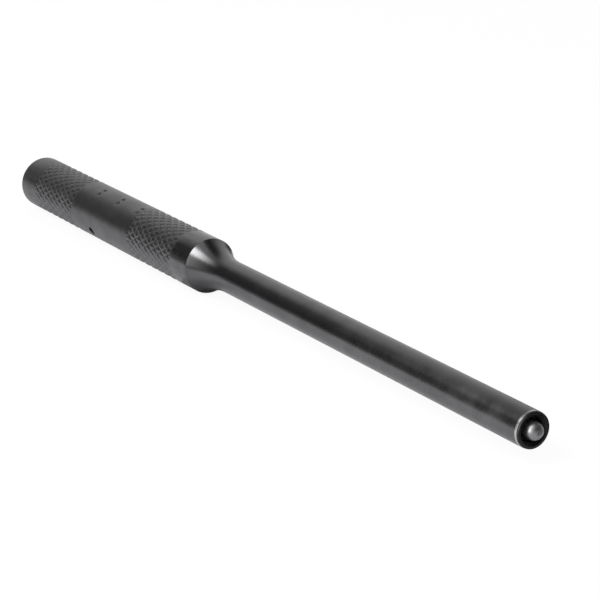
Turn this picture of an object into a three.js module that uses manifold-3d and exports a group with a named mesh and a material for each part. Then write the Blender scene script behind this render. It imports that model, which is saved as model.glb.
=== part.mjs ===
// Pilot punch: a knurled handle, a flared shank pinned into its front end and a sprung pilot in the nose.
// Millimetres. The punch lies on its side along X, its struck end at -X and its pilot at +X, with +Z up.

import * as THREE from 'three';
import { mergeVertices } from 'three/addons/utils/BufferGeometryUtils.js';
import Module from 'manifold-3d';

// Handle: 3/8 inch bar, 2 1/2 inches long
const handleDiameter = 9.525;
const handleLength = 63.5;
const struckEdgeRadius = 0.4;
const rearLandLength = 5.6;
const frontLandLength = 4.7;

// Diamond knurl: two equal bands of crossed grooves
const knurlLength = 16.2;
const knurlGrooves = 22;
const knurlPitch = 2.4;
const knurlDepth = 0.1;
const knurlRaise = 0.02;

// Shank: 7/32 inch, 3 1/2 inches from the handle to the rim of its nose
const shankDiameter = 5.556;
const shankLength = 88.9;
const collarLand = 0.6;
const flareRadius = 15;
const seamChamfer = 0.12;

// Tail of the shank, seated in the handle's socket and held by a cross pin
const tailDiameter = 6;
const tailLength = 40;
const tailChamfer = 0.5;
const crossPinDiameter = 1.5;
const crossPinFromTailEnd = 4.9;
const crossPinTurn = THREE.MathUtils.degToRad(27.5);
const crossPinSink = 0.1;
const crossPinChamfer = 0.15;

// Nose of the shank: a rounded outer edge, a narrow flat rim and a dished face
const noseRoundLength = 1;
const noseRoundDrop = 0.14;
const rimLand = 0.34;
const dishDepth = 0.55;

// Pilot, with a ball nose in front and a head and a stem behind
const pilotDiameter = 2.7;
const pilotReach = 1.32;
const pilotNoseLength = 1.32;
const pilotTipDiameter = 0.6;
const pilotHeadLength = 2.5;
const pilotStemLength = 6;

// Bush that guides the pilot, set back from the dish so that an open ring is left round the pilot
const bushWall = 0.35;
const bushLength = 3;
const ringDepth = 0.55;

// Spring behind the pilot, at its fitted length
const springLength = 12;
const springWire = 0.4;
const springTurns = 13;
const springStepsPerTurn = 8;
const springSides = 5;

// Clearances, each on one side
const fitGap = 0.05;
const runningGap = 0.05;
const seatGap = 0.05;
const springGap = 0.15;
const stemGap = 0.3;

// Counts of facets: every turned piece has one column for each crest and each groove of a knurl row
const columns = 2 * knurlGrooves;
const flareSteps = 10;
const roundSteps = 4;
const pinSides = 16;

// Radii that mating pieces share
const handleRadius = handleDiameter / 2;
const shankRadius = shankDiameter / 2;
const tailRadius = tailDiameter / 2;
const socketRadius = tailRadius + fitGap;
const pilotRadius = pilotDiameter / 2;
const bushBoreRadius = pilotRadius + runningGap;
const bushRadius = bushBoreRadius + bushWall;
const boreRadius = bushRadius + fitGap;
const headRadius = boreRadius - runningGap;
const springRadius = boreRadius - springGap - springWire / 2;
const stemRadius = springRadius - springWire / 2 - stemGap;
const rimOuterRadius = shankRadius - noseRoundDrop;
const rimInnerRadius = rimOuterRadius - rimLand;

// Stations along the axis, from the struck face
const collarBack = handleLength + seatGap;
const rim = handleLength + shankLength;
const tailEnd = handleLength - tailLength;
const socketFloor = tailEnd - seatGap;
const crossPinStation = tailEnd + crossPinFromTailEnd;
const bushFront = rim - dishDepth - ringDepth;
const bushBack = bushFront - bushLength;
const headFront = bushBack - seatGap;
const headBack = headFront - pilotHeadLength;
const springFront = headBack - seatGap;
const springBack = springFront - springLength;
const boreFloor = springBack - seatGap;
const pilotTip = rim + pilotReach;

const wasm = await Module();
wasm.setup();

// Outline helpers: points of a turned profile, as radius and station
const at = (radius, station) => new THREE.Vector2(radius, station);

function arc(steps, point) {
  return Array.from({ length: steps + 1 }, (_, step) => point(step / steps));
}

// One closed surface: shared corners merged, collapsed triangles dropped, faces turned outwards
function closed(geometry) {
  const bare = new THREE.BufferGeometry();
  bare.setAttribute('position', geometry.getAttribute('position').clone());
  bare.setIndex(geometry.getIndex());
  const merged = mergeVertices(bare);
  const position = merged.getAttribute('position');
  const source = merged.getIndex().array;
  const kept = [];
  const corners = [new THREE.Vector3(), new THREE.Vector3(), new THREE.Vector3()];
  let volume = 0;
  for (let i = 0; i < source.length; i += 3) {
    const [a, b, c] = source.slice(i, i + 3);
    if (a === b || b === c || c === a) continue;
    kept.push([a, b, c]);
    corners.forEach((corner, k) => corner.fromBufferAttribute(position, [a, b, c][k]));
    volume += corners[0].dot(corners[1].cross(corners[2]));
  }
  merged.setIndex(kept.flatMap(([a, b, c]) => (volume > 0 ? [a, b, c] : [a, c, b])));
  return merged;
}

function solid(geometry) {
  const body = closed(geometry);
  return new wasm.Manifold(new wasm.Mesh({
    numProp: 3,
    vertProperties: new Float32Array(body.getAttribute('position').array),
    triVerts: new Uint32Array(body.getIndex().array),
  }));
}

function cut(geometry, cutter) {
  const mesh = solid(geometry).subtract(solid(cutter)).getMesh();
  const result = new THREE.BufferGeometry();
  result.setAttribute('position', new THREE.BufferAttribute(mesh.vertProperties, mesh.numProp));
  result.setIndex(new THREE.BufferAttribute(mesh.triVerts, 1));
  return result;
}

// Turned surface whose last column repeats the first one exactly, so that its seam closes
function lathe(profile, sides, start = 0) {
  const geometry = new THREE.LatheGeometry(profile, sides, start, 2 * Math.PI);
  const position = geometry.getAttribute('position');
  const seam = sides * profile.length;
  for (let i = 0; i < profile.length; i += 1) {
    position.setXYZ(seam + i, position.getX(i), position.getY(i), position.getZ(i));
  }
  return geometry;
}

// Turned piece, with a flat of its facets facing down so that the handle can lie on it
const firstColumn = Math.PI / columns;

function turned(profile) {
  return closed(lathe(profile, columns, firstColumn));
}

// Turned bar whose rings may change radius from column to column. Each four-sided facet is split
// along its lower diagonal, so that crossed grooves stay sharp.
function ringBar(rings) {
  const positions = [0, rings[0].station, 0];
  for (const { station, radius } of rings) {
    for (let column = 0; column < columns; column += 1) {
      const turn = firstColumn + (2 * Math.PI * column) / columns;
      const r = radius(column);
      positions.push(r * Math.sin(turn), station, r * Math.cos(turn));
    }
  }
  positions.push(0, rings.at(-1).station, 0);
  const last = positions.length / 3 - 1;
  const corner = (ring, column) => 1 + ring * columns + (column % columns);
  const index = [];
  for (let column = 0; column < columns; column += 1) {
    index.push(0, corner(0, column + 1), corner(0, column));
    for (let ring = 0; ring < rings.length - 1; ring += 1) {
      const [a, b] = [corner(ring, column), corner(ring, column + 1)];
      const [c, d] = [corner(ring + 1, column), corner(ring + 1, column + 1)];
      const next = (column + 1) % columns;
      const fall = rings[ring].radius(column) + rings[ring + 1].radius(next);
      const rise = rings[ring].radius(next) + rings[ring + 1].radius(column);
      if (fall < rise) {
        index.push(a, b, d, a, d, c);
      } else {
        index.push(a, b, c, b, d, c);
      }
    }
    index.push(last, corner(rings.length - 1, column), corner(rings.length - 1, column + 1));
  }
  const geometry = new THREE.BufferGeometry();
  geometry.setAttribute('position', new THREE.Float32BufferAttribute(positions, 3));
  geometry.setIndex(index);
  return geometry;
}

// Rows of crests and grooves in a chequer, between two plain rings at the ends of the band
function knurlRings(start) {
  const rows = Math.round((2 * knurlLength) / knurlPitch);
  const crest = handleRadius + knurlRaise;
  const groove = crest - knurlDepth;
  const rings = [plainRing(handleRadius, start)];
  for (let row = 1; row < rows; row += 1) {
    rings.push({
      station: start + (row * knurlLength) / rows,
      radius: (column) => ((row + column) % 2 ? crest : groove),
    });
  }
  rings.push(plainRing(handleRadius, start + knurlLength));
  return rings;
}

function plainRing(radius, station) {
  return { station, radius: () => radius };
}

// Cross pin's own line: through the axis, turned down from the level on the near side
const crossPinLine = new THREE.Vector3(Math.cos(crossPinTurn), 0, -Math.sin(crossPinTurn));

function acrossAxis(geometry) {
  const toLine = new THREE.Quaternion().setFromUnitVectors(new THREE.Vector3(0, 1, 0), crossPinLine);
  return geometry.applyQuaternion(toLine).translate(0, crossPinStation, 0);
}

function crossHole() {
  const holeRadius = crossPinDiameter / 2 + fitGap;
  return acrossAxis(lathe([
    at(0, -handleDiameter),
    at(holeRadius, -handleDiameter),
    at(holeRadius, handleDiameter),
    at(0, handleDiameter),
  ], pinSides));
}

function handleGeometry() {
  const struckRound = arc(roundSteps, (t) => plainRing(
    handleRadius - struckEdgeRadius * (1 - Math.sin((t * Math.PI) / 2)),
    struckEdgeRadius * (1 - Math.cos((t * Math.PI) / 2)),
  ));
  const bar = ringBar([
    ...struckRound,
    ...knurlRings(rearLandLength),
    ...knurlRings(handleLength - frontLandLength - knurlLength),
    plainRing(handleRadius, handleLength - seamChamfer),
    plainRing(handleRadius - seamChamfer, handleLength),
    plainRing(socketRadius, handleLength),
    plainRing(socketRadius, socketFloor),
  ]);
  return cut(bar, crossHole());
}

function shankGeometry() {
  const drop = handleRadius - shankRadius;
  const flareLength = Math.sqrt(2 * flareRadius * drop - drop ** 2);
  const flareStart = collarBack + collarLand;
  const flare = arc(flareSteps, (t) => {
    const run = (1 - t) * flareLength;
    return at(shankRadius + flareRadius - Math.sqrt(flareRadius ** 2 - run ** 2), flareStart + t * flareLength);
  });
  const noseRound = arc(roundSteps, (t) => at(
    shankRadius - noseRoundDrop * (1 - Math.cos((t * Math.PI) / 2)),
    rim - noseRoundLength * (1 - Math.sin((t * Math.PI) / 2)),
  ));
  const bar = turned([
    at(0, tailEnd),
    at(tailRadius - tailChamfer, tailEnd),
    at(tailRadius, tailEnd + tailChamfer),
    at(tailRadius, collarBack),
    at(handleRadius - seamChamfer, collarBack),
    at(handleRadius, collarBack + seamChamfer),
    ...flare,
    ...noseRound,
    at(rimInnerRadius, rim),
    at(boreRadius, rim - dishDepth),
    at(boreRadius, boreFloor),
    at(0, boreFloor),
  ]);
  return cut(bar, crossHole());
}

function crossPinGeometry() {
  const halfLength = handleRadius - crossPinSink;
  const radius = crossPinDiameter / 2;
  return closed(acrossAxis(lathe([
    at(0, -halfLength),
    at(radius - crossPinChamfer, -halfLength),
    at(radius, crossPinChamfer - halfLength),
    at(radius, halfLength - crossPinChamfer),
    at(radius - crossPinChamfer, halfLength),
    at(0, halfLength),
  ], pinSides)));
}

function bushGeometry() {
  return turned([
    at(bushBoreRadius, bushBack),
    at(bushRadius, bushBack),
    at(bushRadius, bushFront),
    at(bushBoreRadius, bushFront),
    at(bushBoreRadius, bushBack),
  ]);
}

function pilotGeometry() {
  const fall = pilotRadius - pilotTipDiameter / 2;
  const ogiveRadius = (fall ** 2 + pilotNoseLength ** 2) / (2 * fall);
  const nose = arc(2 * roundSteps, (t) => {
    const run = t * pilotNoseLength;
    return at(
      pilotRadius - ogiveRadius + Math.sqrt(ogiveRadius ** 2 - run ** 2),
      pilotTip - pilotNoseLength + run,
    );
  });
  return turned([
    at(0, headBack - pilotStemLength),
    at(stemRadius, headBack - pilotStemLength),
    at(stemRadius, headBack),
    at(headRadius, headBack),
    at(headRadius, headFront),
    at(pilotRadius, headFront),
    ...nose,
    at(0, pilotTip),
  ]);
}

class Coil extends THREE.Curve {
  getPoint(t) {
    const turn = 2 * Math.PI * springTurns * t;
    const rise = springLength - springWire;
    return new THREE.Vector3(
      springRadius * Math.sin(turn),
      springBack + springWire / 2 + rise * t,
      springRadius * Math.cos(turn),
    );
  }
}

function springGeometry() {
  const steps = springTurns * springStepsPerTurn;
  const section = new THREE.Shape(Array.from({ length: springSides }, (_, side) => {
    const turn = (2 * Math.PI * side) / springSides;
    return at((springWire / 2) * Math.cos(turn), (springWire / 2) * Math.sin(turn));
  }));
  const coil = new Coil();
  const points = arc(steps, (t) => coil.getPoint(t));
  let least = Infinity;
  for (let i = 0; i < points.length; i += 1) {
    for (let j = i + springStepsPerTurn / 2; j < points.length; j += 1) {
      least = Math.min(least, points[i].distanceTo(points[j]) - springWire);
    }
  }
  console.log(`pilot_spring: least gap to itself ${least.toFixed(3)} mm`);
  return closed(new THREE.ExtrudeGeometry(section, { steps, bevelEnabled: false, extrudePath: coil }));
}

const blackenedSteel = { color: 0x4a4a4c, roughness: 0.55, metalness: 0.9 };
const polishedSteel = { color: 0x6e6e70, roughness: 0.25, metalness: 1 };
const pilotSteel = { color: 0xa4a4a6, roughness: 0.18, metalness: 1 };
const springSteel = { color: 0x8a8a8c, roughness: 0.35, metalness: 1 };

function piece(name, geometry, finish) {
  geometry.computeVertexNormals();
  const mesh = new THREE.Mesh(geometry, new THREE.MeshStandardMaterial(finish));
  mesh.name = name;
  return mesh;
}

// The pieces share one axis, drawn upright, and the punch is then laid along X on the crests of its knurl
const axisHeight = (handleRadius + knurlRaise) * Math.cos(firstColumn);
const punch = new THREE.Group();
punch.rotation.z = -Math.PI / 2;
punch.position.set(-pilotTip / 2, 0, axisHeight);
punch.add(
  piece('handle', handleGeometry(), blackenedSteel),
  piece('shank', shankGeometry(), polishedSteel),
  piece('cross_pin', crossPinGeometry(), blackenedSteel),
  piece('guide_bush', bushGeometry(), blackenedSteel),
  piece('pilot_pin', pilotGeometry(), pilotSteel),
  piece('pilot_spring', springGeometry(), springSteel),
);

const part = new THREE.Group();
part.add(punch);

export default part;
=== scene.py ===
"""Looks of a pilot punch: a knurled handle, a flared shank and a sprung pilot.

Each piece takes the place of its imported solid, where that lies and at its size.
"""

import math

import bmesh
import bpy
from mathutils import Matrix, Vector


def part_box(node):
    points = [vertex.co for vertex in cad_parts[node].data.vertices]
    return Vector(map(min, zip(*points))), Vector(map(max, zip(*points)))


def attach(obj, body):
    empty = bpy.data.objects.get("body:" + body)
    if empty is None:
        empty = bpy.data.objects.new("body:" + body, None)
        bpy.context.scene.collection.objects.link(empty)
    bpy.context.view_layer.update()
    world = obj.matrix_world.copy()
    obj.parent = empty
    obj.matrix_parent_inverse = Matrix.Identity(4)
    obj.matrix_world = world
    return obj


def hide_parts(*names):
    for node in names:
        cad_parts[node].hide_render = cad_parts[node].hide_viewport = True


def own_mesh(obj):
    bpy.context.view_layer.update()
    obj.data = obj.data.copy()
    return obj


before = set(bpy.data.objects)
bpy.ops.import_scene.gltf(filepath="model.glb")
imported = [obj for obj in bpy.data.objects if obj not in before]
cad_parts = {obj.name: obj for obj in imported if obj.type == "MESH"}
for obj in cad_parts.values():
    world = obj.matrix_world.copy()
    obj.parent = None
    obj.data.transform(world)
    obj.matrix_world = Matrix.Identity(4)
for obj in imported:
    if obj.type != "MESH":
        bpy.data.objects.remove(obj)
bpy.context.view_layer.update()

bl_info = {
    "name": "Pilot Punch",
    "version": (1, 0, 0),
    "blender": (4, 5, 0),
    "location": "View3D > Sidebar > Pilot Punch",
    "description": "Dresses the pieces of a pilot punch and sets it in a plain studio",
    "category": "Add Mesh",
}

# Places along the punch's axis, in metres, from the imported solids
HANDLE_LOW, HANDLE_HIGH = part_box("handle")
SHANK_LOW, SHANK_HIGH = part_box("shank")
CROSS_PIN_LOW, CROSS_PIN_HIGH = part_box("cross_pin")
BUSH_LOW, BUSH_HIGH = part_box("guide_bush")
PILOT_LOW, PILOT_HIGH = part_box("pilot_pin")
SPRING_LOW, SPRING_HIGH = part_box("pilot_spring")
AXIS_HEIGHT = (SHANK_LOW.z + SHANK_HIGH.z) / 2
STRUCK_FACE = HANDLE_LOW.x
HANDLE_FRONT = HANDLE_HIGH.x
TAIL_END = SHANK_LOW.x
RIM = SHANK_HIGH.x
CROSS_PIN_STATION = (CROSS_PIN_LOW.x + CROSS_PIN_HIGH.x) / 2
CREST_RADIUS = AXIS_HEIGHT - HANDLE_LOW.z
ON_AXIS = Matrix.Translation((0, 0, AXIS_HEIGHT))

TURN = 2 * math.pi
QUARTER = math.pi / 2


# Settings

STEEL_BLUE = 1.02  # Blue of a plain metal's grey, over its red and green


def length(name, description, default):
    """A length that a user can change, in metres."""
    return bpy.props.FloatProperty(
        name=name, description=description, default=default, min=0, precision=5,
        subtype="DISTANCE", unit="LENGTH",
    )


def angle(name, description, degrees):
    """An angle that a user can change, given in degrees."""
    return bpy.props.FloatProperty(
        name=name, description=description, default=math.radians(degrees),
        subtype="ANGLE", unit="ROTATION",
    )


def share(name, description, default):
    """A share between nothing and all."""
    return bpy.props.FloatProperty(
        name=name, description=description, default=default, min=0, max=1, subtype="FACTOR",
    )


def count(name, description, default):
    """A whole number of like things."""
    return bpy.props.IntProperty(name=name, description=description, default=default, min=1)


def grey(name, description, level):
    """A plain metal's colour, set by its lightness."""
    return bpy.props.FloatVectorProperty(
        name=name, description=description, default=(level, level, STEEL_BLUE * level),
        size=3, min=0, max=1, subtype="COLOR",
    )


def power(name, description, watts):
    """A lamp's power, in watts."""
    return bpy.props.FloatProperty(
        name=name, description=description, default=watts, min=0, unit="POWER",
    )


def settings_group(name, description, kind):
    """One group of settings inside another."""
    return bpy.props.PointerProperty(name=name, description=description, type=kind)


class HandleSettings(bpy.types.PropertyGroup):
    """Sizes of the knurled handle"""

    diameter: length("Diameter", "Diameter of the smooth bar", 9.525e-3)
    struck_round: length("Struck Round", "Radius of the edge round the struck face", 0.4e-3)
    rear_land: length("Rear Land", "Smooth length behind the knurl", 5.6e-3)
    front_land: length("Front Land", "Smooth length before the shank's collar", 4.7e-3)
    knurl_length: length("Knurl Length", "Length of each knurled band", 16.2e-3)
    knurl_depth: length("Knurl Depth", "Depth of the knurl's grooves", 0.1e-3)
    knurl_grooves: count("Knurl Grooves", "Grooves of one hand round the bar", 22)
    knurl_rows: count("Knurl Rows", "Half diamonds along each band", 14)
    mark_length: length("Mark Length", "Length of the punch marks along the bar", 1.2e-3)
    mark_width: length("Mark Width", "Width of the punch marks round the bar", 0.85e-3)
    mark_depth: length("Mark Depth", "Depth of the punch marks", 0.16e-3)
    mark_pitch: length("Mark Pitch", "From one pair of punch marks to the next", 7.2e-3)
    socket_gap: length("Socket Gap", "Clearance round the shank's tail", 0.05e-3)


class ShankSettings(bpy.types.PropertyGroup):
    """Sizes of the flared shank and its dished nose"""

    diameter: length("Diameter", "Diameter of the thin rod", 5.556e-3)
    collar_land: length("Collar Land", "Straight length of the collar", 0.64e-3)
    collar_gap: length("Collar Gap", "Gap of the seam to the handle", 0.01e-3)
    flare_radius: length("Flare Radius", "Radius of the concave flare", 15e-3)
    tail_diameter: length("Tail Diameter", "Diameter of the tail in the handle's socket", 6e-3)
    tail_chamfer: length("Tail Chamfer", "Chamfer on the tail's end", 0.5e-3)
    nose_round_length: length("Nose Round Length", "Length of the rounded edge of the nose", 1e-3)
    nose_round_drop: length("Nose Round Drop", "How far the rounded edge falls", 0.14e-3)
    rim_land: length("Rim Land", "Width of the flat rim", 0.34e-3)
    dish_depth: length("Dish Depth", "Depth of the dished face", 0.55e-3)
    bore_diameter: length("Bore Diameter", "Diameter of the bore behind the dish", 3.6e-3)
    bare_back: length("Bare Back", "From the rim back to the end of the ground finish", 0.8e-3)
    bare_length: length("Bare Length", "Width of the bright bare ring on the nose", 0.5e-3)


class PilotSettings(bpy.types.PropertyGroup):
    """Sizes of the sprung pilot and of what holds it"""

    diameter: length("Diameter", "Diameter of the pilot's shaft", 2.7e-3)
    nose_length: length("Nose Length", "Length of the ball nose", 1.32e-3)
    tip_diameter: length("Tip Diameter", "Diameter of the flat end", 0.6e-3)
    head_diameter: length("Head Diameter", "Diameter of the head behind the bush", 3.5e-3)
    head_length: length("Head Length", "Length of the head", 2.5e-3)
    stem_diameter: length("Stem Diameter", "Diameter of the stem inside the spring", 1.9e-3)
    seat_gap: length("Seat Gap", "Gap between the head and its neighbours", 0.05e-3)
    bush_bore: length("Bush Bore", "Bore of the guide bush", 2.8e-3)
    bush_chamfer: length("Bush Chamfer", "Chamfer on the edges of the bush", 0.08e-3)
    pin_diameter: length("Pin Diameter", "Diameter of the cross pin", 1.5e-3)
    pin_chamfer: length("Pin Chamfer", "Chamfer on the ends of the cross pin", 0.15e-3)
    pin_turn: angle("Pin Turn", "How far the cross pin points below the level", 27.5)
    wire: length("Wire", "Diameter of the spring's wire", 0.4e-3)
    turns: count("Turns", "Turns of the spring", 13)


class FinishSettings(bpy.types.PropertyGroup):
    """Colours of the finishes"""

    handle: grey("Handle", "Satin blackened steel of the handle", 0.11)
    # On the shank this colour also fills the dish and the bore inside the rim's edge, as painted
    # shade in that recess.
    groove: grey("Groove", "Dull steel of the marks, the cross pin and the dish", 0.03)
    shank: grey("Shank", "Dark ground steel of the shank", 0.105)
    bare: grey("Bare Steel", "Bright steel where the finish is cut away", 0.38)
    # The bush's front face is the floor of the ring round the pilot, and this near-black colour is
    # painted shade in that ring.
    bush: grey("Bush", "Dull black steel of the guide bush", 0.015)
    pilot: grey("Pilot", "Satin steel of the pilot", 0.18)
    spring: grey("Spring", "Drawn spring wire", 0.3)


class StageSettings(bpy.types.PropertyGroup):
    """Camera and studio"""

    camera_azimuth: angle("Azimuth", "Turn of the view round the punch", 57.84)
    camera_elevation: angle("Elevation", "Height of the view over the floor", 18.357)
    camera_distance: length("Distance", "From the camera to the point that it looks at", 0.3529)
    camera_target: bpy.props.FloatVectorProperty(
        name="Target", description="Point that the camera looks at",
        default=(RIM - 70.37e-3, 6.70e-3, AXIS_HEIGHT - 2.23e-3),
        size=3, precision=5, subtype="XYZ", unit="LENGTH",
    )
    lens: bpy.props.FloatProperty(
        name="Lens", description="Focal length", default=129.11, min=1, unit="CAMERA",
    )
    floor: grey("Floor", "Pale floor", 0.82)
    floor_glow: share("Floor Glow", "Share of white that the floor shows by itself", 0.92)
    softbox_power: power("Softbox Power", "Power of the softbox", 7.2)
    kicker_power: power("Kicker Power", "Power of the low lamp beside the nose", 0.24)
    fill: share("Fill", "Level of the soft light from all round", 0.85)


class PunchSettings(bpy.types.PropertyGroup):
    """All settings of the punch"""

    handle: settings_group("Handle", "Sizes of the handle", HandleSettings)
    shank: settings_group("Shank", "Sizes of the shank", ShankSettings)
    pilot: settings_group("Pilot", "Sizes of the pilot", PilotSettings)
    finish: settings_group("Finish", "Colours", FinishSettings)
    stage: settings_group("Stage", "Camera and studio", StageSettings)


# Meshes

ROUND_COLUMNS = 176
PIN_COLUMNS = 48
ROUND_STEPS = 10
FLARE_STEPS = 40
SHARP_EDGE = math.radians(24)
FLAT_WITHIN = 1e-7


def arc(steps, point):
    """Points of a curved stretch of an outline, from a function of the share gone."""
    return [point(step / steps) for step in range(steps + 1)]


def ring(bm, along, radius, columns):
    """One ring of corners round the X axis, or one corner on the axis itself."""
    if radius == 0:
        return [bm.verts.new((along, 0, 0))]
    corners = []
    for column in range(columns):
        turn = TURN * column / columns
        reach = radius(turn) if callable(radius) else radius
        corners.append(bm.verts.new((along, -reach * math.sin(turn), reach * math.cos(turn))))
    return corners


def off_axis(corner):
    """A corner's distance from the X axis."""
    return math.hypot(corner.co.y, corner.co.z)


def join(bm, near, far):
    """Faces between two rings.

    A face whose four corners don't lie flat is split along its lower diagonal, so that crossed
    grooves stay sharp.
    """
    columns = max(len(near), len(far))
    for column in range(columns):
        a, b = near[column % len(near)], near[(column + 1) % len(near)]
        c, d = far[column % len(far)], far[(column + 1) % len(far)]
        if a is b:
            bm.faces.new((a, d, c))
        elif c is d:
            bm.faces.new((a, b, c))
        else:
            fall = off_axis(a) + off_axis(d)
            rise = off_axis(b) + off_axis(c)
            if abs(fall - rise) < FLAT_WITHIN:
                bm.faces.new((a, b, d, c))
            elif fall < rise:
                bm.faces.new((a, b, d))
                bm.faces.new((a, d, c))
            else:
                bm.faces.new((a, b, c))
                bm.faces.new((b, d, c))


def turned(name, outline, columns=ROUND_COLUMNS, place=ON_AXIS):
    """Closed turned piece from its outline, a list of stations and radii.

    The outline ends on the axis, or comes back to its start.
    """
    bm = bmesh.new()
    rings = [ring(bm, along, radius, columns) for along, radius in outline]
    if outline[0] == outline[-1]:
        for corner in rings[-1]:
            bm.verts.remove(corner)
        rings[-1] = rings[0]
    for near, far in zip(rings, rings[1:]):
        join(bm, near, far)
    bmesh.ops.recalc_face_normals(bm, faces=bm.faces)
    bm.transform(place)
    return piece_of(name, bm)


def piece_of(name, bm):
    """Object with a finished mesh, smooth but for its real edges."""
    mesh = bpy.data.meshes.new(name)
    bm.to_mesh(mesh)
    bm.free()
    shade(mesh)
    piece = bpy.data.objects.new(name, mesh)
    bpy.context.scene.collection.objects.link(piece)
    return piece


def shade(mesh):
    """Smooth shading with crisp edges."""
    mesh.shade_smooth()
    mesh.set_sharp_from_angle(angle=SHARP_EDGE)


def drill(piece, cutter):
    """Cuts the cutter out of the piece and removes the cutter."""
    cut = piece.modifiers.new("Drilled", "BOOLEAN")
    cut.operation = "DIFFERENCE"
    cut.solver = "EXACT"
    cut.object = cutter
    view = bpy.context.evaluated_depsgraph_get()
    drilled = bpy.data.meshes.new_from_object(piece.evaluated_get(view))
    piece.modifiers.clear()
    whole = piece.data
    piece.data = drilled
    bpy.data.meshes.remove(whole)
    drilled.name = piece.name
    shade(drilled)
    rod = cutter.data
    bpy.data.objects.remove(cutter)
    bpy.data.meshes.remove(rod)


def fit(piece, body, node, material):
    """Puts a finished piece in the place of its solid."""
    piece.data.materials.clear()
    piece.data.materials.append(material)
    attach(piece, body)
    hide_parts(node)


# Shader groups and finishes

WHITE = (1, 1, 1, 1)
BLACK = (0, 0, 0, 1)

# Noise keeps near its middle, so it is drawn out from this range
NOISE_MIDDLE = 0.5
NOISE_RANGE = (0.3, 0.7)
RAGGED_DETAIL = 2.0
GRAIN_DETAIL = 3.0
BLOTCH_DETAIL = 4.0
TOOL_MARK_DEPTH = 2e-5

EDGE_FEATHER = 1e-4
BAND_FEATHER = 2e-4
RIM_FEATHER = 5e-5
BARE_RAGGED = 1e-4
PAST_END = 1e-3  # How far a band's mask runs past the end of its piece

STEEL_EDGE = 0.85
SHADES = (0.85, 1.15)
PLAIN_SHADES = (0.8, 1.15)

HANDLE_GRAIN = {"along": 9000.0, "across": 1500.0, "blotch_scale": 350.0}
HANDLE_ROUGHNESS = (0.32, 0.38)
HANDLE_BUMP = 0.03
LAND_GRAIN = 0.3  # Share of the tool marks that is left on the lands
# How much rougher the handle is in each band than on its smooth middle
ROUGHER_BANDS = {"rear_land": 0.04, "rear_knurl": 0.02, "front_knurl": -0.02, "front_land": -0.1}

SHANK_GRAIN = {"along": 7000.0, "across": 900.0, "blotch_scale": 260.0}
SHANK_ROUGHNESS = (0.23, 0.27)
SHANK_BUMP = 0.008
SHANK_WORN_FROM = 0.02
SHANK_WORN = 0.1  # How much rougher the blotches are at the nose
DULL_ROUGHER = 0.2

PLAIN_GRAIN = {"along": 9000.0, "across": 2500.0, "blotch_scale": 700.0}
PLAIN_SPREAD = 0.08
PLAIN_BUMP = 0.05


def shader_group(name, inputs, outputs):
    """Empty shader group with named sockets, and its input and output nodes."""
    group = bpy.data.node_groups.new(name, "ShaderNodeTree")
    for socket, default in inputs.items():
        made = group.interface.new_socket(socket, in_out="INPUT", socket_type="NodeSocketFloat")
        made.default_value = default
    for socket in outputs:
        group.interface.new_socket(socket, in_out="OUTPUT", socket_type="NodeSocketFloat")
    given = group.nodes.new("NodeGroupInput").outputs
    put = group.nodes.new("NodeGroupOutput").inputs
    return group, given, put


def feed(tree, socket, value):
    """Links a socket to another one, or sets it."""
    if isinstance(value, bpy.types.NodeSocket):
        tree.links.new(value, socket)
    else:
        socket.default_value = value


def calculate(tree, operation, *values, clamp=False):
    """Math node on two or three values."""
    made = tree.nodes.new("ShaderNodeMath")
    made.operation = operation
    made.use_clamp = clamp
    for socket, value in zip(made.inputs, values):
        feed(tree, socket, value)
    return made.outputs[0]


def spread(tree, value, low, high, to_low=0.0, to_high=1.0, smooth=True):
    """Value mapped from one range to another, and held at its ends."""
    made = tree.nodes.new("ShaderNodeMapRange")
    made.interpolation_type = "SMOOTHSTEP" if smooth else "LINEAR"
    for socket, number in zip(made.inputs, (value, low, high, to_low, to_high)):
        feed(tree, socket, number)
    return made.outputs[0]


def between(tree, mask, low, high):
    """Value that goes evenly from one number to another, by a mask."""
    return spread(tree, mask, 0.0, 1.0, low, high, smooth=False)


def blend(tree, mask, low, high):
    """Colour between two colours, by a mask."""
    made = tree.nodes.new("ShaderNodeMix")
    made.data_type = "RGBA"
    feed(tree, made.inputs[0], mask)
    for socket, colour in zip(made.inputs[6:8], (low, high)):
        feed(tree, socket, colour if isinstance(colour, bpy.types.NodeSocket) else (*colour, 1))
    return made.outputs[2]


def shades(tree, mask, colour, low, high):
    """Colour that goes from a darker shade of itself to a lighter one, by a mask."""
    return blend(tree, mask, [low * c for c in colour], [min(1, high * c) for c in colour])


def noise(tree, place, scale, detail):
    """Noise at a place, from nothing to one."""
    made = tree.nodes.new("ShaderNodeTexNoise")
    feed(tree, made.inputs["Vector"], place)
    feed(tree, made.inputs["Scale"], scale)
    feed(tree, made.inputs["Detail"], detail)
    return made.outputs[0]


def place_on_piece(tree):
    """Corner's own place on its piece, as a vector and as X, Y and Z."""
    coordinates = tree.nodes.new("ShaderNodeTexCoord").outputs["Object"]
    parts = tree.nodes.new("ShaderNodeSeparateXYZ")
    tree.links.new(coordinates, parts.inputs[0])
    return coordinates, parts.outputs


def turned_height_group():
    """How far a point lies from the axis, between two radii."""
    group, given, put = shader_group(
        "Turned Height", {"Low Radius": 0.0, "High Radius": 1.0}, ["Height"],
    )
    _, (_, across, up) = place_on_piece(group)
    over_axis = calculate(group, "SUBTRACT", up, AXIS_HEIGHT)
    across_squared = calculate(group, "MULTIPLY", across, across)
    squares = calculate(group, "MULTIPLY_ADD", over_axis, over_axis, across_squared)
    radius = calculate(group, "SQRT", squares)
    feed(group, put["Height"], spread(
        group, radius, given["Low Radius"], given["High Radius"], smooth=False,
    ))
    return group


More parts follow.
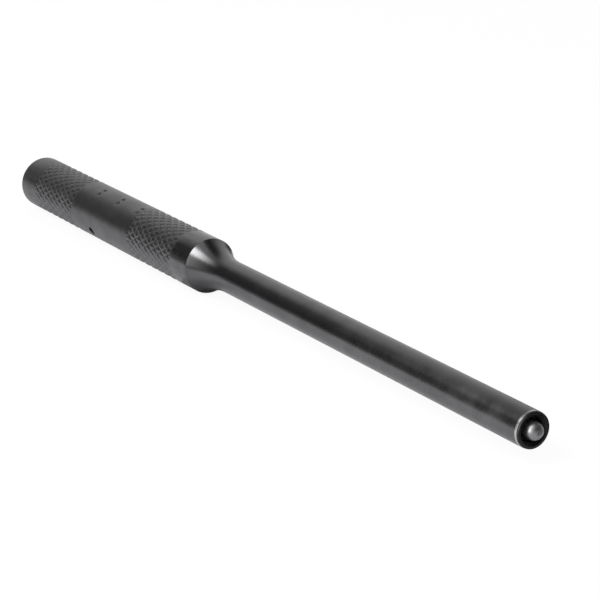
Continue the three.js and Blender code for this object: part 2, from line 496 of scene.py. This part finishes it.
def band_group():
    """Mask of a band along the axis, with ragged edges."""
    group, given, put = shader_group("Band", {
        "Start": 0.0, "End": 1.0, "Feather": EDGE_FEATHER, "Ragged": 0.0, "Ragged Scale": 400.0,
    }, ["Mask"])
    coordinates, (along, _, _) = place_on_piece(group)
    rough_edge = noise(group, coordinates, given["Ragged Scale"], RAGGED_DETAIL)
    rough_edge = calculate(group, "SUBTRACT", rough_edge, NOISE_MIDDLE)
    wander = calculate(group, "MULTIPLY", rough_edge, given["Ragged"])
    station = calculate(group, "ADD", along, wander)
    full_from = calculate(group, "ADD", given["Start"], given["Feather"])
    full_to = calculate(group, "SUBTRACT", given["End"], given["Feather"])
    rise = spread(group, station, given["Start"], full_from)
    fall = spread(group, station, full_to, given["End"])
    feed(group, put["Mask"], calculate(group, "SUBTRACT", rise, fall, clamp=True))
    return group


def grain_group():
    """Fine tool marks, drawn out by their scales along and across the axis, and slow blotches."""
    group, given, put = shader_group("Tool Grain", {
        "Along": 2000.0, "Across": 2000.0, "Blotch Scale": 300.0,
    }, ["Grain", "Blotch"])
    coordinates, _ = place_on_piece(group)
    scales = group.nodes.new("ShaderNodeCombineXYZ")
    for socket, value in zip(scales.inputs, (given["Along"], given["Across"], given["Across"])):
        feed(group, socket, value)
    drawn = group.nodes.new("ShaderNodeVectorMath")
    drawn.operation = "MULTIPLY"
    group.links.new(coordinates, drawn.inputs[0])
    group.links.new(scales.outputs[0], drawn.inputs[1])
    lines = noise(group, drawn.outputs[0], 1.0, GRAIN_DETAIL)
    blotches = noise(group, coordinates, given["Blotch Scale"], BLOTCH_DETAIL)
    feed(group, put["Grain"], spread(group, lines, *NOISE_RANGE, smooth=False))
    feed(group, put["Blotch"], spread(group, blotches, *NOISE_RANGE, smooth=False))
    return group


SHADER_GROUPS = {
    "Turned Height": turned_height_group,
    "Band": band_group,
    "Tool Grain": grain_group,
}


def placed(tree, name, **values):
    """One of the shared shader groups, built at its first use, placed with its own values."""
    made = tree.nodes.new("ShaderNodeGroup")
    made.node_tree = bpy.data.node_groups.get(name) or SHADER_GROUPS[name]()
    for socket, value in values.items():
        feed(tree, made.inputs[socket.replace("_", " ").title()], value)
    return made.outputs


def steel(name, metallic=1.0, edge=STEEL_EDGE):
    """Metal with one shader. Gives the material, its tree and its shader's inputs."""
    material = bpy.data.materials.new(name)
    material.use_nodes = True
    tree = material.node_tree
    shader = tree.nodes["Principled BSDF"]
    shader.inputs["Metallic"].default_value = metallic
    shader.inputs["Specular Tint"].default_value = (edge, edge, edge, 1)
    return material, tree, shader.inputs


def roughen(tree, inputs, height, strength):
    """Bump of tool marks from a height."""
    bump = tree.nodes.new("ShaderNodeBump")
    bump.inputs["Strength"].default_value = strength
    bump.inputs["Distance"].default_value = TOOL_MARK_DEPTH
    feed(tree, bump.inputs["Height"], height)
    feed(tree, inputs["Normal"], bump.outputs[0])


def handle_finish(settings):
    """Satin blackened steel: dark in the marks, duller at the rear and smoother at the front."""
    colours, sizes = settings.finish, settings.handle
    material, tree, inputs = steel("handle_satin")
    grain = placed(tree, "Tool Grain", **HANDLE_GRAIN)
    out_of_mark = placed(
        tree, "Turned Height",
        low_radius=sizes.diameter / 2 - sizes.mark_depth,
        high_radius=(sizes.diameter - sizes.mark_depth) / 2,
    )["Height"]
    rear = STRUCK_FACE + sizes.rear_land
    front = HANDLE_FRONT - sizes.front_land
    bands = {
        "rear_land": (STRUCK_FACE - PAST_END, rear),
        "rear_knurl": (rear, rear + sizes.knurl_length),
        "front_knurl": (front - sizes.knurl_length, front),
        "front_land": (front, HANDLE_FRONT + PAST_END),
    }
    masks = {
        band: placed(tree, "Band", start=start, end=end, feather=BAND_FEATHER)["Mask"]
        for band, (start, end) in bands.items()
    }
    lands = calculate(tree, "ADD", masks["rear_land"], masks["front_land"], clamp=True)
    knurled = calculate(tree, "ADD", masks["rear_knurl"], masks["front_knurl"], clamp=True)
    feed(tree, inputs["Base Color"], blend(
        tree, calculate(tree, "MAXIMUM", out_of_mark, knurled),
        shades(tree, grain["Blotch"], colours.groove, *SHADES),
        shades(tree, grain["Blotch"], colours.handle, *SHADES),
    ))
    rough = between(tree, grain["Grain"], *HANDLE_ROUGHNESS)
    for band, rougher in ROUGHER_BANDS.items():
        rough = calculate(tree, "MULTIPLY_ADD", masks[band], rougher, rough)
    feed(tree, inputs["Roughness"], rough)
    left = between(tree, lands, 1.0, LAND_GRAIN)
    roughen(tree, inputs, calculate(tree, "MULTIPLY", grain["Grain"], left), HANDLE_BUMP)
    return material


def shank_finish(settings):
    """Dark ground steel with a bright bare ring on the nose, a rougher dark face in front of it and
    painted shade in the dish and the bore.
    """
    colours, sizes = settings.finish, settings.shank
    material, tree, inputs = steel("shank_ground")
    grain = placed(tree, "Tool Grain", **SHANK_GRAIN)
    bare_start = RIM - sizes.bare_back
    bare_end = bare_start + sizes.bare_length
    bare, face = (
        placed(tree, "Band", start=start, end=end, feather=EDGE_FEATHER, ragged=BARE_RAGGED)["Mask"]
        for start, end in ((bare_start, bare_end), (bare_end - EDGE_FEATHER, RIM + PAST_END))
    )
    rim_edge = sizes.diameter / 2 - sizes.nose_round_drop - sizes.rim_land
    outside = placed(
        tree, "Turned Height", low_radius=rim_edge, high_radius=rim_edge + RIM_FEATHER,
    )["Height"]
    # The face band is the dark face's finish; the darkening inside the rim's edge, down the dish
    # and the bore, is painted shade in that recess.
    dark_face_and_recess_shade = calculate(tree, "MAXIMUM", face, calculate(tree, "SUBTRACT", 1.0, outside))
    ground = shades(tree, grain["Blotch"], colours.shank, *SHADES)
    ground = blend(tree, bare, ground, colours.bare)
    feed(tree, inputs["Base Color"], blend(tree, dark_face_and_recess_shade, ground, colours.groove))
    rough = between(tree, grain["Grain"], *SHANK_ROUGHNESS)
    rough = calculate(tree, "MULTIPLY_ADD", dark_face_and_recess_shade, DULL_ROUGHER, rough)
    _, (along, _, _) = place_on_piece(tree)
    towards_nose = spread(tree, along, SHANK_WORN_FROM, RIM, 0.0, SHANK_WORN)
    worn = calculate(tree, "MULTIPLY", towards_nose, grain["Blotch"])
    feed(tree, inputs["Roughness"], calculate(tree, "ADD", rough, worn, clamp=True))
    roughen(tree, inputs, grain["Grain"], SHANK_BUMP)
    return material


def plain_finish(name, colour, roughness, metallic=1.0, edge=STEEL_EDGE):
    """Steel of one colour with fine tool marks."""
    material, tree, inputs = steel(name, metallic, edge)
    grain = placed(tree, "Tool Grain", **PLAIN_GRAIN)
    feed(tree, inputs["Base Color"], shades(tree, grain["Blotch"], colour, *PLAIN_SHADES))
    feed(tree, inputs["Roughness"], between(
        tree, grain["Grain"], roughness - PLAIN_SPREAD / 2, roughness + PLAIN_SPREAD / 2,
    ))
    roughen(tree, inputs, grain["Grain"], PLAIN_BUMP)
    return material


# Pieces

KNURL_STEPS = 4
GROOVE_SHARE = 0.5
RUN_OUT = 1.5  # How fast the knurl comes to its full depth, in depths for each row
MARK_STEPS = 10
MARK_PAIRS = 3
MARK_TURNS = (math.radians(26), math.radians(10))
SPRING_STEPS = 24
WIRE_SIDES = 10


def knurl_rise(sizes, along, turn):
    """Share of the knurl's depth that a point of a band stands above its two hands of V grooves."""
    half_turn = math.pi / sizes.knurl_grooves
    row = along / (sizes.knurl_length / sizes.knurl_rows)
    column = turn / half_turn - 0.5
    from_groove = min(1 - abs((row + hand * column) / 2 % 1 * 2 - 1) for hand in (1, -1))
    return min(1, from_groove / GROOVE_SHARE)


def knurl_rings(sizes, start):
    """Rings of one knurled band, running out at both ends."""
    rings = []
    steps = sizes.knurl_rows * KNURL_STEPS
    bar = sizes.diameter / 2
    for step in range(steps + 1):
        along = sizes.knurl_length * step / steps
        rows_in = min(step, steps - step) / KNURL_STEPS
        cut = min(1, RUN_OUT * rows_in)

        def radius(turn, along=along, cut=cut):
            knurled = CREST_RADIUS - sizes.knurl_depth * (1 - knurl_rise(sizes, along, turn))
            return bar + cut * (knurled - bar)

        rings.append((start + along, radius))
    return rings


def mark_rings(sizes, start, end):
    """Rings of the smooth middle band, with pairs of shallow punch marks."""
    bar = sizes.diameter / 2
    centres = [end - sizes.mark_length / 2 - sizes.mark_pitch * pair for pair in range(MARK_PAIRS)]
    step = sizes.mark_length / MARK_STEPS
    steps = round((end - start) / step)
    rings = []
    for i in range(1, steps):
        along = start + (end - start) * i / steps
        near = [centre for centre in centres if abs(centre - along) < sizes.mark_length / 2]
        if not near:
            rings.append((along, bar))
            continue

        def radius(turn, gap=along - near[0]):
            sink = 0
            for mark in MARK_TURNS:
                around = bar * ((turn - mark + math.pi) % TURN - math.pi)
                off = 2 * math.hypot(gap / sizes.mark_length, around / sizes.mark_width)
                sink = max(sink, 1 - off ** 2)
            return bar - sizes.mark_depth * sink

        rings.append((along, radius))
    return rings


def cross_pin_place(settings):
    """Turns a piece along X into the cross pin's line."""
    line = Matrix.Rotation(settings.pilot.pin_turn, 4, "X") @ Matrix.Rotation(-QUARTER, 4, "Z")
    return Matrix.Translation((CROSS_PIN_STATION, 0, AXIS_HEIGHT)) @ line


def cross_drill(settings):
    """Rod that cuts the cross pin's hole."""
    radius = settings.pilot.pin_diameter / 2 + settings.handle.socket_gap
    reach = settings.handle.diameter
    outline = [(-reach, 0), (-reach, radius), (reach, radius), (reach, 0)]
    return turned("cross_drill", outline, PIN_COLUMNS, cross_pin_place(settings))


class PunchOperator:
    """What the punch's operators share"""

    bl_options = {"REGISTER", "UNDO"}


class PUNCH_OT_handle(PunchOperator, bpy.types.Operator):
    """Knurled handle with its socket and punch marks"""

    bl_idname = "punch.handle"
    bl_label = "Handle"

    def execute(self, context):
        settings = context.scene.pilot_punch
        sizes = settings.handle
        bar = sizes.diameter / 2
        socket = settings.shank.tail_diameter / 2 + sizes.socket_gap
        socket_floor = TAIL_END - sizes.socket_gap
        rear = STRUCK_FACE + sizes.rear_land
        front = HANDLE_FRONT - sizes.front_land - sizes.knurl_length
        struck_round = arc(ROUND_STEPS, lambda t: (
            STRUCK_FACE + sizes.struck_round * (1 - math.cos(t * QUARTER)),
            bar - sizes.struck_round * (1 - math.sin(t * QUARTER)),
        ))
        piece = turned("knurled_handle", [
            (STRUCK_FACE, 0),
            *struck_round,
            *knurl_rings(sizes, rear),
            *mark_rings(sizes, rear + sizes.knurl_length, front),
            *knurl_rings(sizes, front),
            (HANDLE_FRONT, bar),
            (HANDLE_FRONT, socket),
            (socket_floor, socket),
            (socket_floor, 0),
        ])
        drill(piece, cross_drill(settings))
        fit(piece, "punch_body", "handle", handle_finish(settings))
        return {"FINISHED"}


class PUNCH_OT_shank(PunchOperator, bpy.types.Operator):
    """Shank with its tail, collar, flare, rounded nose, dish and bore"""

    bl_idname = "punch.shank"
    bl_label = "Shank"

    def execute(self, context):
        settings = context.scene.pilot_punch
        sizes = settings.shank
        rod = sizes.diameter / 2
        collar = settings.handle.diameter / 2
        tail = sizes.tail_diameter / 2
        collar_back = HANDLE_FRONT + sizes.collar_gap
        flare_start = collar_back + sizes.collar_land
        drop = collar - rod
        flare_length = math.sqrt(2 * sizes.flare_radius * drop - drop ** 2)
        flare = arc(FLARE_STEPS, lambda t: (
            flare_start + t * flare_length,
            rod + sizes.flare_radius
            - math.sqrt(sizes.flare_radius ** 2 - ((1 - t) * flare_length) ** 2),
        ))
        nose_round = arc(ROUND_STEPS, lambda t: (
            RIM - sizes.nose_round_length * (1 - math.sin(t * QUARTER)),
            rod - sizes.nose_round_drop * (1 - math.cos(t * QUARTER)),
        ))
        dish_edge = rod - sizes.nose_round_drop - sizes.rim_land
        bore = sizes.bore_diameter / 2
        bore_floor = SPRING_LOW.x - settings.pilot.seat_gap
        piece = turned("flared_shank", [
            (TAIL_END, 0),
            (TAIL_END, tail - sizes.tail_chamfer),
            (TAIL_END + sizes.tail_chamfer, tail),
            (collar_back, tail),
            (collar_back, collar),
            *flare,
            *nose_round,
            (RIM, dish_edge),
            (RIM - sizes.dish_depth, bore),
            (bore_floor, bore),
            (bore_floor, 0),
        ])
        drill(piece, cross_drill(settings))
        fit(piece, "punch_body", "shank", shank_finish(settings))
        return {"FINISHED"}


class PUNCH_OT_cross_pin(PunchOperator, bpy.types.Operator):
    """Pin through the handle and the shank's tail"""

    bl_idname = "punch.cross_pin"
    bl_label = "Cross Pin"

    def execute(self, context):
        settings = context.scene.pilot_punch
        sizes = settings.pilot
        radius = sizes.pin_diameter / 2
        middle = Vector((CROSS_PIN_STATION, 0, AXIS_HEIGHT))
        line = cross_pin_place(settings).to_3x3() @ Vector((1, 0, 0))
        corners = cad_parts["cross_pin"].data.vertices
        half = max(abs((corner.co - middle).dot(line)) for corner in corners)
        piece = turned("cross_pin_rod", [
            (-half, 0),
            (-half, radius - sizes.pin_chamfer),
            (sizes.pin_chamfer - half, radius),
            (half - sizes.pin_chamfer, radius),
            (half, radius - sizes.pin_chamfer),
            (half, 0),
        ], PIN_COLUMNS, cross_pin_place(settings))
        fit(piece, "punch_body", "cross_pin", plain_finish(
            "pin_black", settings.finish.groove, roughness=0.5, edge=0.2,
        ))
        return {"FINISHED"}


class PUNCH_OT_guide_bush(PunchOperator, bpy.types.Operator):
    """Bush that guides the pilot"""

    bl_idname = "punch.guide_bush"
    bl_label = "Guide Bush"

    def execute(self, context):
        settings = context.scene.pilot_punch
        bore = settings.pilot.bush_bore / 2
        outer = settings.shank.bore_diameter / 2 - settings.handle.socket_gap
        chamfer = settings.pilot.bush_chamfer
        piece = turned("guide_bush_ring", [
            (BUSH_LOW.x, bore + chamfer),
            (BUSH_LOW.x, outer - chamfer),
            (BUSH_LOW.x + chamfer, outer),
            (BUSH_HIGH.x - chamfer, outer),
            (BUSH_HIGH.x, outer - chamfer),
            (BUSH_HIGH.x, bore + chamfer),
            (BUSH_HIGH.x - chamfer, bore),
            (BUSH_LOW.x + chamfer, bore),
            (BUSH_LOW.x, bore + chamfer),
        ])
        # Near-black bush: painted shade on the floor of the ring round the pilot.
        fit(piece, "punch_body", "guide_bush", plain_finish(
            "bush_black", settings.finish.bush, roughness=0.5,
        ))
        return {"FINISHED"}


class PUNCH_OT_pilot_pin(PunchOperator, bpy.types.Operator):
    """Sprung pilot with a ball nose"""

    bl_idname = "punch.pilot_pin"
    bl_label = "Pilot Pin"

    def execute(self, context):
        settings = context.scene.pilot_punch
        sizes = settings.pilot
        radius = sizes.diameter / 2
        head = sizes.head_diameter / 2
        stem = sizes.stem_diameter / 2
        head_front = BUSH_LOW.x - sizes.seat_gap
        head_back = head_front - sizes.head_length
        fall = radius - sizes.tip_diameter / 2
        ogive = (fall ** 2 + sizes.nose_length ** 2) / (2 * fall)
        nose = arc(2 * ROUND_STEPS, lambda t: (
            PILOT_HIGH.x - sizes.nose_length * (1 - t),
            radius - ogive + math.sqrt(ogive ** 2 - (t * sizes.nose_length) ** 2),
        ))
        piece = turned("pilot_pin_rod", [
            (PILOT_LOW.x, 0),
            (PILOT_LOW.x, stem),
            (head_back, stem),
            (head_back, head),
            (head_front, head),
            (head_front, radius),
            *nose,
            (PILOT_HIGH.x, 0),
        ])
        fit(piece, "pilot", "pilot_pin", plain_finish(
            "pilot_satin", settings.finish.pilot, roughness=0.4, metallic=0.85,
        ))
        return {"FINISHED"}


class PUNCH_OT_pilot_spring(PunchOperator, bpy.types.Operator):
    """Coil spring behind the pilot, which the pilot presses as it slides in, made once at the
    length of its solid
    """

    bl_idname = "punch.pilot_spring"
    bl_label = "Pilot Spring"

    def execute(self, context):
        settings = context.scene.pilot_punch
        sizes = settings.pilot
        thick = sizes.wire / 2
        coil = (SPRING_HIGH.y - SPRING_LOW.y) / 2 - thick
        run = SPRING_HIGH.x - SPRING_LOW.x - sizes.wire
        steps = SPRING_STEPS * sizes.turns
        bm = bmesh.new()
        rings = []
        for step in range(steps + 1):
            gone = step / steps
            turn = TURN * sizes.turns * gone
            outward = Vector((0, -math.sin(turn), math.cos(turn)))
            middle = Vector((SPRING_LOW.x + thick + run * gone, 0, 0)) + coil * outward
            rings.append([])
            for side in range(WIRE_SIDES):
                roll = TURN * side / WIRE_SIDES
                reach = math.cos(roll) * outward + math.sin(roll) * Vector((1, 0, 0))
                rings[-1].append(bm.verts.new(middle + thick * reach))
        for near, far in zip(rings, rings[1:]):
            for side in range(WIRE_SIDES):
                following = (side + 1) % WIRE_SIDES
                bm.faces.new((near[side], near[following], far[following], far[side]))
        bm.faces.new(rings[0])
        bm.faces.new(rings[-1])
        bmesh.ops.recalc_face_normals(bm, faces=bm.faces)
        bm.transform(ON_AXIS)
        piece = piece_of("pilot_spring_coil", bm)
        fit(piece, "punch_body", "pilot_spring", plain_finish(
            "spring_wire", settings.finish.spring, roughness=0.3,
        ))
        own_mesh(piece)
        return {"FINISHED"}


# Studio

FLOOR_HALF = 4.0
ON_FLOOR = 0.5e-3
OVERHEAD = 0.8
OVER_NOSE = 0.039
ARCH_RADIUS = 0.9
ARCH_ENDS = (-3.0, 0.3)
ARCH_TURNS = (math.radians(1), math.radians(171))
ARCH_STEPS = 32
ARCH_DARK = 0.92
ARCH_ALONG = (-0.75, 0.1)
ARCH_ACROSS = (-0.5 * ARCH_RADIUS, 0.22 * ARCH_RADIUS)

# Flat dark cloths, as outlines on the floor, overhead or close over the nose. Each is darkest at
# the first value of its fades along X and Y and clear at the second one, or even all over.
FLAT_FLAGS = (
    {
        "name": "top_flag", "height": OVERHEAD, "dark": 0.95,
        "along": (-0.52, -0.9), "across": (0.35, 1.1),
        "outline": [(-1.0, -0.25), (0.3, 0.22), (0.3, 1.0), (-1.0, 1.0)],
    },
    {
        "name": "front_flag", "height": OVERHEAD, "dark": 0.9,
        "outline": [(-0.15, 0.25), (1.0, 0.25), (1.0, 1.8), (-0.15, 1.8)],
    },
    {
        "name": "brow_flag", "height": OVER_NOSE, "dark": 0.9,
        "outline": [(0.0845, -0.016), (0.1125, -0.016), (0.1125, 0.01), (0.0845, 0.01)],
    },
    {
        "name": "low_flag", "height": ON_FLOOR, "dark": 0.8,
        "outline": [(-1.5, -0.9), (0.06, -0.9), (0.06, -0.032), (-1.5, -0.032)],
    },
    {
        "name": "ahead_flag", "height": ON_FLOOR, "dark": 0.85,
        "outline": [(0.082, 0.0), (0.14, 0.0), (0.14, 0.05), (0.082, 0.05)],
    },
    # Painted shadow: a dark patch on the floor under the flare, standing in for the punch's contact
    # shadow where the metal reflects it.
    {
        "name": "under_painted_shadow", "height": ON_FLOOR, "dark": 0.8,
        "along": (-0.0125, -0.0065), "across": (-0.001, -0.008),
        "outline": [(-0.018, -0.009), (-0.004, -0.009), (-0.004, 0.004), (-0.018, 0.004)],
    },
    # Painted shadow: a dark strip on the floor behind the handle, standing in for the handle's
    # shadow where the flare reflects it.
    {
        "name": "behind_painted_shadow", "height": ON_FLOOR, "dark": 0.95,
        "outline": [(-0.052, 0.026), (-0.036, 0.028), (-0.21, 0.45), (-0.33, 0.38)],
    },
)
# Upright cloths, as the line that each hangs over, with the heights of its lower and upper edges
UPRIGHT_FLAGS = (
    {
        "name": "far_flag", "heights": (ON_FLOOR, 0.09), "dark": 0.95,
        "line": [(-0.33, 0.38), (-0.21, 0.45)],
    },
    {
        "name": "nose_flag", "heights": (0.0068, OVER_NOSE), "dark": 1.0,
        "line": [(0.0925, -0.0144), (0.0925, 0.036)],
    },
)

SOFTBOX_SIZE = (0.85, 0.26)
SOFTBOX_REACH = 0.6
SOFTBOX_SIDE = Vector((0, -0.62, 0.78))
SOFTBOX_STATION = -0.325
SOFTBOX_FULL_FROM = 0.88
SOFTBOX_FALL = 3.2
KICKER_SIZE = (0.09, 0.09)
KICKER_REACH = 0.15
KICKER_SIDE = Vector((-0.12, -0.96, 0.2))
CLIP_START = 0.01


def show_either(tree, output, mask, first, second):
    """Shows one shader or another, by a mask, as the output of a tree."""
    either = tree.nodes.new("ShaderNodeMixShader")
    for socket, value in zip(either.inputs, (mask, first, second)):
        feed(tree, socket, value)
    tree.links.new(either.outputs[0], tree.nodes.new(output).inputs["Surface"])


def studio_world(settings):
    """White to the camera and in gloss, and a softer level as light."""
    world = bpy.data.worlds.new("studio")
    bpy.context.scene.world = world
    world.use_nodes = True
    tree = world.node_tree
    tree.nodes.clear()
    path = tree.nodes.new("ShaderNodeLightPath").outputs
    direct = calculate(tree, "ADD", path["Is Camera Ray"], path["Is Glossy Ray"])
    direct = calculate(tree, "ADD", direct, path["Is Transmission Ray"], clamp=True)
    levels = []
    for strength in (settings.stage.fill, 1):
        background = tree.nodes.new("ShaderNodeBackground")
        background.inputs["Color"].default_value = WHITE
        background.inputs["Strength"].default_value = strength
        levels.append(background.outputs[0])
    show_either(tree, "ShaderNodeOutputWorld", direct, *levels)


def floor_finish(settings):
    """Pale matt floor that keeps the shadow, paler where it is seen directly."""
    material = bpy.data.materials.new("floor_pale")
    material.use_nodes = True
    tree = material.node_tree
    shader = tree.nodes["Principled BSDF"]
    shader.inputs["Roughness"].default_value = 1
    shader.inputs["Specular IOR Level"].default_value = 0
    direct = tree.nodes.new("ShaderNodeLightPath").outputs["Is Camera Ray"]
    glow = settings.stage.floor_glow
    feed(tree, shader.inputs["Base Color"], blend(
        tree, direct, settings.stage.floor, [(1 - glow) * level for level in settings.stage.floor],
    ))
    shader.inputs["Emission Color"].default_value = WHITE
    feed(tree, shader.inputs["Emission Strength"], calculate(tree, "MULTIPLY", direct, glow))
    return material


def cloth_finish(name, dark, along=None, across=None):
    """Black cloth that lets some light through, and may grow clear along X and along Y."""
    material = bpy.data.materials.new(name)
    material.use_nodes = True
    tree = material.node_tree
    tree.nodes.clear()
    hole = tree.nodes.new("ShaderNodeBsdfTransparent")
    cloth = tree.nodes.new("ShaderNodeEmission")
    cloth.inputs["Color"].default_value = BLACK
    shut = dark
    if along:
        _, (x, y, _) = place_on_piece(tree)
        shut = calculate(
            tree, "MULTIPLY",
            spread(tree, x, *along, dark, 0.0),
            spread(tree, y, *across, 1.0, 0.0, smooth=False),
        )
    show_either(tree, "ShaderNodeOutputMaterial", shut, hole.outputs[0], cloth.outputs[0])
    return material


def board(name, corners, faces, material):
    """Part of the studio from its corners and faces."""
    mesh = bpy.data.meshes.new(name)
    mesh.from_pydata(corners, [], faces)
    mesh.materials.append(material)
    made = bpy.data.objects.new(name, mesh)
    bpy.context.scene.collection.objects.link(made)
    return made


def flag(name, corners, faces, material):
    """Dark cloth that shows in gloss only and takes no light away; most are studio flags, and two
    are painted shadows on the floor.
    """
    made = board(name, corners, faces, material)
    made.visible_camera = False
    made.visible_diffuse = False
    made.visible_shadow = False


def hang_flags():
    """Cloth arched over the punch from the near side to the far one, and the other cloths round it.

    The arch is darkest low on the near side.
    """
    corners, faces = [], []
    start, end = ARCH_TURNS
    for step in range(ARCH_STEPS + 1):
        turn = start + (end - start) * step / ARCH_STEPS
        for along in ARCH_ENDS:
            corners.append((along, -ARCH_RADIUS * math.cos(turn), ARCH_RADIUS * math.sin(turn)))
        if step:
            faces.append((2 * step - 2, 2 * step - 1, 2 * step + 1, 2 * step))
    cloth = cloth_finish("arch_cloth", ARCH_DARK, ARCH_ALONG, ARCH_ACROSS)
    flag("arched_flag", corners, faces, cloth)
    for made in FLAT_FLAGS:
        name = made["name"]
        fades = made.get("along"), made.get("across")
        cloth = cloth_finish(name + "_cloth", made["dark"], *fades)
        flag(name, [(x, y, made["height"]) for x, y in made["outline"]], [range(4)], cloth)
    for made in UPRIGHT_FLAGS:
        name = made["name"]
        lower, upper = made["heights"]
        corners = [(x, y, lower) for x, y in made["line"]]
        corners += [(x, y, upper) for x, y in reversed(made["line"])]
        flag(name, corners, [range(4)], cloth_finish(name + "_cloth", made["dark"]))


def soft_lamp(name, power, size, side, place):
    """Flat soft lamp that faces away from the given side. Gives its light."""
    light = bpy.data.lights.new(name, "AREA")
    light.shape = "RECTANGLE"
    light.size, light.size_y = size
    light.energy = power
    lamp = bpy.data.objects.new(name, light)
    lamp.location = place
    lamp.rotation_euler = side.to_track_quat("Z", "Y").to_euler()
    lamp.visible_camera = False
    bpy.context.scene.collection.objects.link(lamp)
    return light


def fade_lamp(light):
    """Lets a lamp grow dim towards one end."""
    light.use_nodes = True
    tree = light.node_tree
    parts = tree.nodes.new("ShaderNodeSeparateXYZ")
    on_lamp = tree.nodes.new("ShaderNodeNewGeometry").outputs["Parametric"]
    tree.links.new(on_lamp, parts.inputs[0])
    rise = spread(tree, parts.outputs[0], 0.0, SOFTBOX_FULL_FROM, smooth=False)
    strength = tree.nodes["Emission"].inputs["Strength"]
    feed(tree, strength, calculate(tree, "POWER", rise, SOFTBOX_FALL))


class PUNCH_OT_stage(PunchOperator, bpy.types.Operator):
    """Pale floor, soft studio light and the camera"""

    bl_idname = "punch.stage"
    bl_label = "Stage"

    def execute(self, context):
        settings = context.scene.pilot_punch
        stage = settings.stage
        scene = context.scene
        scene.view_settings.view_transform = "Standard"
        studio_world(settings)
        half = FLOOR_HALF
        floor = [(-half, -half, 0), (half, -half, 0), (half, half, 0), (-half, half, 0)]
        board("floor", floor, [range(4)], floor_finish(settings))
        hang_flags()
        over = SOFTBOX_REACH * SOFTBOX_SIDE + Vector((SOFTBOX_STATION, 0, 0))
        fade_lamp(soft_lamp("softbox", stage.softbox_power, SOFTBOX_SIZE, SOFTBOX_SIDE, over))
        low = KICKER_REACH * KICKER_SIDE + Vector((RIM, 0, 0))
        soft_lamp("kicker", stage.kicker_power, KICKER_SIZE, KICKER_SIDE, low)

        camera = bpy.data.objects.new("camera", bpy.data.cameras.new("camera"))
        camera.data.lens = stage.lens
        camera.data.clip_start = CLIP_START
        turn, lift = stage.camera_azimuth, stage.camera_elevation
        level = math.cos(lift)
        back = Vector((math.sin(turn) * level, -math.cos(turn) * level, math.sin(lift)))
        camera.location = Vector(stage.camera_target) + stage.camera_distance * back
        camera.rotation_euler = (-back).to_track_quat("-Z", "Y").to_euler()
        scene.collection.objects.link(camera)
        scene.camera = camera
        return {"FINISHED"}


class PUNCH_PT_panel(bpy.types.Panel):
    """Pieces of the punch, in the order in which they are made"""

    bl_label = "Pilot Punch"
    bl_idname = "PUNCH_PT_panel"
    bl_space_type = "VIEW_3D"
    bl_region_type = "UI"
    bl_category = "Pilot Punch"

    def draw(self, context):
        for operator in OPERATORS:
            self.layout.operator(operator.bl_idname)


OPERATORS = (
    PUNCH_OT_handle,
    PUNCH_OT_shank,
    PUNCH_OT_cross_pin,
    PUNCH_OT_guide_bush,
    PUNCH_OT_pilot_pin,
    PUNCH_OT_pilot_spring,
    PUNCH_OT_stage,
)
CLASSES = (
    HandleSettings,
    ShankSettings,
    PilotSettings,
    FinishSettings,
    StageSettings,
    PunchSettings,
    *OPERATORS,
    PUNCH_PT_panel,
)


def register():
    for cls in CLASSES:
        bpy.utils.register_class(cls)
    bpy.types.Scene.pilot_punch = settings_group(
        "Pilot Punch", "Settings of the punch", PunchSettings,
    )


def unregister():
    del bpy.types.Scene.pilot_punch
    for cls in reversed(CLASSES):
        bpy.utils.unregister_class(cls)


def main():
    register()
    bpy.ops.punch.handle()
    bpy.ops.punch.shank()
    bpy.ops.punch.cross_pin()
    bpy.ops.punch.guide_bush()
    bpy.ops.punch.pilot_pin()
    bpy.ops.punch.pilot_spring()
    bpy.ops.punch.stage()


if __name__ == "__main__":
    main()
